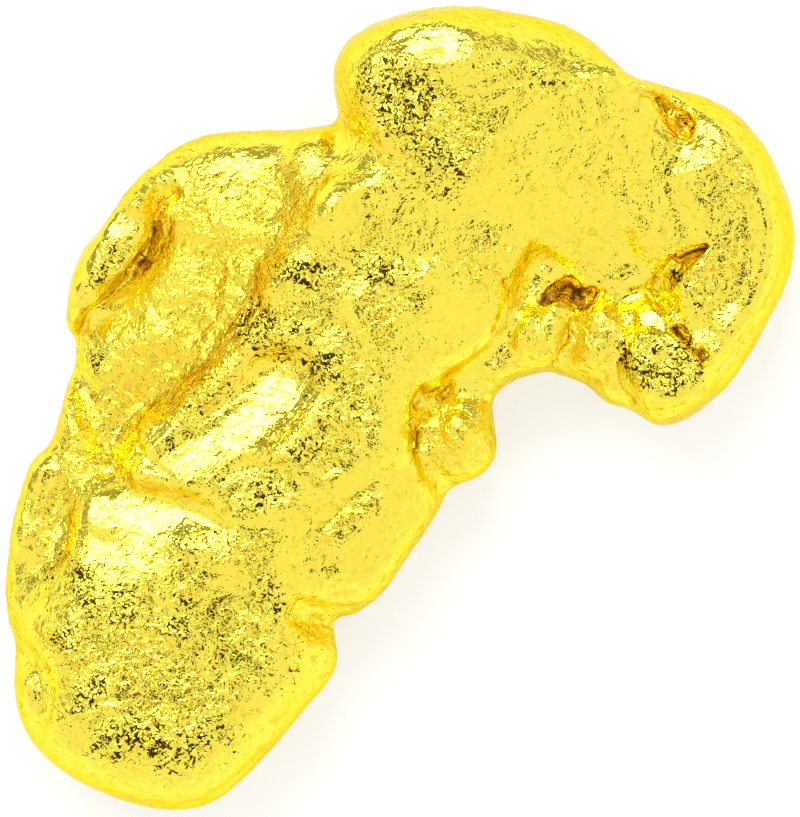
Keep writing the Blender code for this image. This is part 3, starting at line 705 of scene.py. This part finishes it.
def native_gold(gold):
    """Native gold, tumbled bright by gravel: soft-edged reflections broken by fine pits.

    Rubbed gold is clear yellow and shines; sheltered gold is duller and redder, in
    mottled patches. Pecked hollows glitter against painted dark specks that stand in for
    reflections of the dark opening overhead, and fine pits carry painted shade. Seams and
    creases deepen to a painted orange of light bounced between gold walls, mixed with
    stain, and then to brown iron stain.
    """
    material = bpy.data.materials.new("native_gold_tumbled")
    material.use_nodes = True
    tree = material.node_tree
    tree.nodes.clear()
    add = partial(add_node, tree)

    worn, pecked, bounce_light_and_stain, stained = (
        add("ShaderNodeAttribute", attribute_name=name).outputs["Fac"]
        for name in ("worn", "pecked", "bounce_light_and_stain", "stained")
    )
    place = add("ShaderNodeTexCoord").outputs["Object"]
    mottle, blotch, pits, specks, coarse, fine = (
        add(
            "ShaderNodeTexNoise",
            {
                "Vector": place,
                "Scale": per_metre(spacing),
                "Detail": detail,
                "Roughness": 0.6,
                "Distortion": distortion,
            },
        )
        for spacing, detail, distortion in (
            (0.45, 4.0, 0.0),  # mottling of the sheltered gold
            (2.2, 3.0, 0.0),  # broad blotches that vary the rest
            (0.3, 3.0, 0.6),  # pits, seen by their colour: painted shade in fine pits
            (0.22, 2.0, 1.2),  # painted dark specks, standing in for reflections of the dark opening overhead
            (0.42, 2.0, 0.4),  # coarse grit marks
            (0.13, 1.0, 0.0),  # fine grit marks
        )
    )

    # Colour. The noise is about 0.5 on average, so up to nearly half of a pecked hollow is painted
    # dark specks, which stand in for reflections of the dark opening overhead.
    uneven = add("ShaderNodeMath", {0: mottle, 1: 0.7, 2: blotch}, operation="MULTIPLY_ADD")
    shelter = add("ShaderNodeMath", {0: uneven, 1: worn}, operation="SUBTRACT")
    dull = add("ShaderNodeMapRange", span(shelter, 0.3, 0.9), interpolation_type="SMOOTHSTEP")
    most = add("ShaderNodeMapRange", span(blotch, 0.35, 0.65, 0.3, 0.85))
    # Painted shade in fine pits, placed by noise
    pit_shade_share = add("ShaderNodeMapRange", span(pits, 0.46, 0.34), interpolation_type="SMOOTHSTEP")
    pit_shade_share = add("ShaderNodeMath", {0: pit_shade_share, 1: most}, operation="MULTIPLY")
    # How much of each pecked place gets painted dark reflection specks
    most = add("ShaderNodeMapRange", span(pecked, 0.0, 1.0, 0.3, 0.49))
    dark_speck_share = add("ShaderNodeMath", {0: most, 1: specks}, operation="SUBTRACT")
    dark_speck_share = add("ShaderNodeMapRange", span(dark_speck_share, 0.0, 0.03), interpolation_type="SMOOTHSTEP")
    coloured = (*gold.face, 1)
    for share, tone in (
        (dull, gold.sheltered),
        (pit_shade_share, gold.pit_shade),
        (dark_speck_share, gold.painted_dark_specks),
        (bounce_light_and_stain, gold.crevice),
        (stained, gold.depth),
    ):
        mixed = {"Factor": share, "A": coloured, "B": (*tone, 1)}
        coloured = add("ShaderNodeMix", mixed, data_type="RGBA")

    # Relief: grit marks of 0.1 to 0.4 mm, finer than the mesh holds. The real ones go on down
    # to a few hundredths, too fine to show, so these are drawn coarser.
    grit = add("ShaderNodeMath", {0: fine, 1: 0.25, 2: coarse}, operation="MULTIPLY_ADD")
    exposed = add("ShaderNodeMapRange", span(worn, 0.0, 1.0, 1.3, 0.3))
    uneven_depth = add("ShaderNodeMapRange", span(blotch, 0.35, 0.65, 0.6, 1.3))
    depth = add(
        "ShaderNodeMath", {0: exposed, 1: uneven_depth, 2: pecked}, operation="MULTIPLY_ADD"
    )
    height = add("ShaderNodeMath", {0: grit, 1: depth}, operation="MULTIPLY")
    relief = add("ShaderNodeBump", {"Height": height, "Distance": gold.grit_depth})

    # Shine: rubbed gold is the glossiest, and stain is dull and hardly metallic.
    unpolished = add("ShaderNodeMath", {0: mottle, 1: 0.6, 2: stained}, operation="MULTIPLY_ADD")
    shine = add("ShaderNodeMath", {0: unpolished, 1: worn}, operation="SUBTRACT")
    shader = add(
        "ShaderNodeBsdfPrincipled",
        {
            "Base Color": coloured,
            "Metallic": add("ShaderNodeMapRange", span(stained, 0.0, 1.0, 1.0, 0.15)),
            "Roughness": add("ShaderNodeMapRange", span(shine, -0.6, 0.8, 0.05, 0.34)),
            "Specular Tint": (*gold.edge, 1),
            "Normal": relief,
        },
    )
    add("ShaderNodeOutputMaterial", {"Surface": shader})
    return material


def opal_table(colour):
    """Opal acrylic sheet lit from below: a flat white with almost no shadow on it."""
    material = bpy.data.materials.new("opal_acrylic_table")
    material.use_nodes = True
    tree = material.node_tree
    tree.nodes.clear()
    shader = add_node(
        tree,
        "ShaderNodeBsdfPrincipled",
        {
            "Base Color": (*colour, 1),
            "Roughness": 0.6,
            "Emission Color": (1, 1, 1, 1),
            "Emission Strength": 0.6,
        },
    )
    add_node(tree, "ShaderNodeOutputMaterial", {"Surface": shader})
    return material


# The stage


class Patch(NamedTuple):
    """A patch of the tent, in degrees."""

    low: float  # from overhead to where it starts
    high: float  # from overhead to where it ends
    half_width: float  # each side of the lamp's bearing
    softness: float  # of its edges


NO_EDGE = 400  # past any angle there is
OPENING = Patch(-10, 12, NO_EDGE, 3)  # the dark opening that the camera looks through
LAMP = Patch(32, 50, 35, 6)
GAP = Patch(56, 86, 70, 10)  # the dim gap between the lamp and the table
ROOM = Patch(118, NO_EDGE, NO_EDGE, 40)  # the dim room under the table
LAMP_BEARING = -22  # degrees from +Y towards +X
DIMMED = 0.4  # brightness of the gap and the room, against the tent's


def white_tent(table):
    """A white tent with a dark opening overhead, a lamp behind its cloth and a dim gap below."""
    world = bpy.data.worlds.new("white_tent")
    world.use_nodes = True
    tree = world.node_tree
    tree.nodes.clear()
    add = partial(add_node, tree)

    way = add("ShaderNodeTexCoord").outputs["Generated"]
    axes = add("ShaderNodeSeparateXYZ", {"Vector": way}).outputs
    from_top = add("ShaderNodeMath", {0: axes["Z"]}, operation="ARCCOSINE")
    bearing = add("ShaderNodeMath", {0: axes["X"], 1: axes["Y"]}, operation="ARCTAN2")
    aside = add("ShaderNodeMath", {0: bearing, 1: math.radians(LAMP_BEARING)}, operation="SUBTRACT")
    aside = add("ShaderNodeMath", {0: aside}, operation="ABSOLUTE")

    shares = []
    for patch in (OPENING, LAMP, GAP, ROOM):
        inside = 1.0
        for angle, edge, way_in in (
            (from_top, patch.low, 1),
            (from_top, patch.high, -1),
            (aside, patch.half_width, -1),
        ):
            soft = way_in * patch.softness / 2
            limits = span(angle, math.radians(edge - soft), math.radians(edge + soft))
            step = add("ShaderNodeMapRange", limits, interpolation_type="SMOOTHSTEP")
            inside = add("ShaderNodeMath", {0: step, 1: inside}, operation="MULTIPLY")
        shares.append(inside)
    opening, lamp, gap, room = shares

    # Folds in the cloth make its light a little uneven.
    cloth = add("ShaderNodeTexNoise", {"Vector": way, "Scale": 7.0, "Detail": 2.0})
    cloth = add("ShaderNodeMapRange", span(cloth, 0.0, 1.0, 0.75, 1.25))
    dim = add("ShaderNodeMath", {0: gap, 1: room}, operation="MAXIMUM")
    bright = table.tent_light
    lit = add("ShaderNodeMapRange", span(dim, 0.0, 1.0, bright, bright * DIMMED))
    tent = add("ShaderNodeMath", {0: lit, 1: cloth}, operation="MULTIPLY")
    light = add("ShaderNodeMath", {0: lamp, 1: table.key_light, 2: tent}, operation="MULTIPLY_ADD")
    shade = add(
        "ShaderNodeMix",
        {"Factor": opening, "A": (1, 1, 1, 1), "B": (*table.opening_colour, 1)},
        data_type="RGBA",
    )
    sky = add("ShaderNodeBackground", {"Color": shade, "Strength": light})
    add("ShaderNodeOutputWorld", {"Surface": sky})
    bpy.context.scene.world = world


def table_sheet(table):
    """The table's top, just under the nugget."""
    work = bmesh.new()
    level = Matrix.Translation((0, 0, -SHEET_GAP))
    bmesh.ops.create_grid(work, x_segments=1, y_segments=1, size=SHEET_HALF, matrix=level)
    mesh = bpy.data.meshes.new("light_table")
    work.to_mesh(mesh)
    work.free()
    sheet = bpy.data.objects.new("light_table", mesh)
    bpy.context.scene.collection.objects.link(sheet)
    mesh.materials.append(opal_table(table.table_colour))


def overhead_camera(table):
    """A long lens straight above, framed on the nugget's widest level."""
    camera = bpy.data.cameras.new("overhead")
    camera.lens = table.lens
    camera.sensor_width = 36  # millimetres
    holder = bpy.data.objects.new("overhead", camera)
    holder.location = (0, 0, WIDEST_LEVEL + VIEW_HEIGHT * camera.lens / camera.sensor_width)
    bpy.context.scene.collection.objects.link(holder)
    bpy.context.scene.camera = holder


class MESH_OT_gold_nugget(bpy.types.Operator):
    """Works the nugget's skin over its solid and gives it its gold"""

    bl_idname = "mesh.gold_nugget"
    bl_label = "Gold nugget"

    def execute(self, context):
        scene = context.scene
        mesh = worked_skin(scene.nugget_skin)
        if not mesh.vertices:
            raise RuntimeError("the nugget's skin came out empty")
        mesh.name = "nugget"
        mesh.materials.append(native_gold(scene.nugget_gold))
        nugget = bpy.data.objects.new("nugget", mesh)
        scene.collection.objects.link(nugget)
        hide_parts(NODE)
        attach(nugget, "root")
        return {"FINISHED"}


class SCENE_OT_light_table(bpy.types.Operator):
    """Adds the light table, the white tent over it and the camera"""

    bl_idname = "scene.light_table"
    bl_label = "Light table"

    def execute(self, context):
        table = context.scene.light_table
        table_sheet(table)
        white_tent(table)
        overhead_camera(table)
        context.scene.view_settings.view_transform = "Standard"
        return {"FINISHED"}


class VIEW3D_PT_gold_nugget(bpy.types.Panel):
    """The nugget's and the stage's settings, in the sidebar"""

    bl_label = "Gold nugget"
    bl_space_type = "VIEW_3D"
    bl_region_type = "UI"
    bl_category = "Nugget"

    def draw(self, context):
        scene = context.scene
        for group, operator in (
            (scene.nugget_skin, MESH_OT_gold_nugget),
            (scene.nugget_gold, None),
            (scene.light_table, SCENE_OT_light_table),
        ):
            box = self.layout.box()
            for name in group.__annotations__:
                box.prop(group, name)
            if operator:
                box.operator(operator.bl_idname)


GROUPS = {"nugget_skin": NuggetSkin, "nugget_gold": NuggetGold, "light_table": LightTable}
CLASSES = (*GROUPS.values(), MESH_OT_gold_nugget, SCENE_OT_light_table, VIEW3D_PT_gold_nugget)


def register():
    for cls in CLASSES:
        bpy.utils.register_class(cls)
    for name, group in GROUPS.items():
        setattr(bpy.types.Scene, name, bpy.props.PointerProperty(type=group))


def unregister():
    for name in GROUPS:
        delattr(bpy.types.Scene, name)
    for cls in reversed(CLASSES):
        bpy.utils.unregister_class(cls)


def main():
    register()
    bpy.ops.mesh.gold_nugget()
    bpy.ops.scene.light_table()
    bpy.context.view_layer.update()


if __name__ == "__main__":
    main()
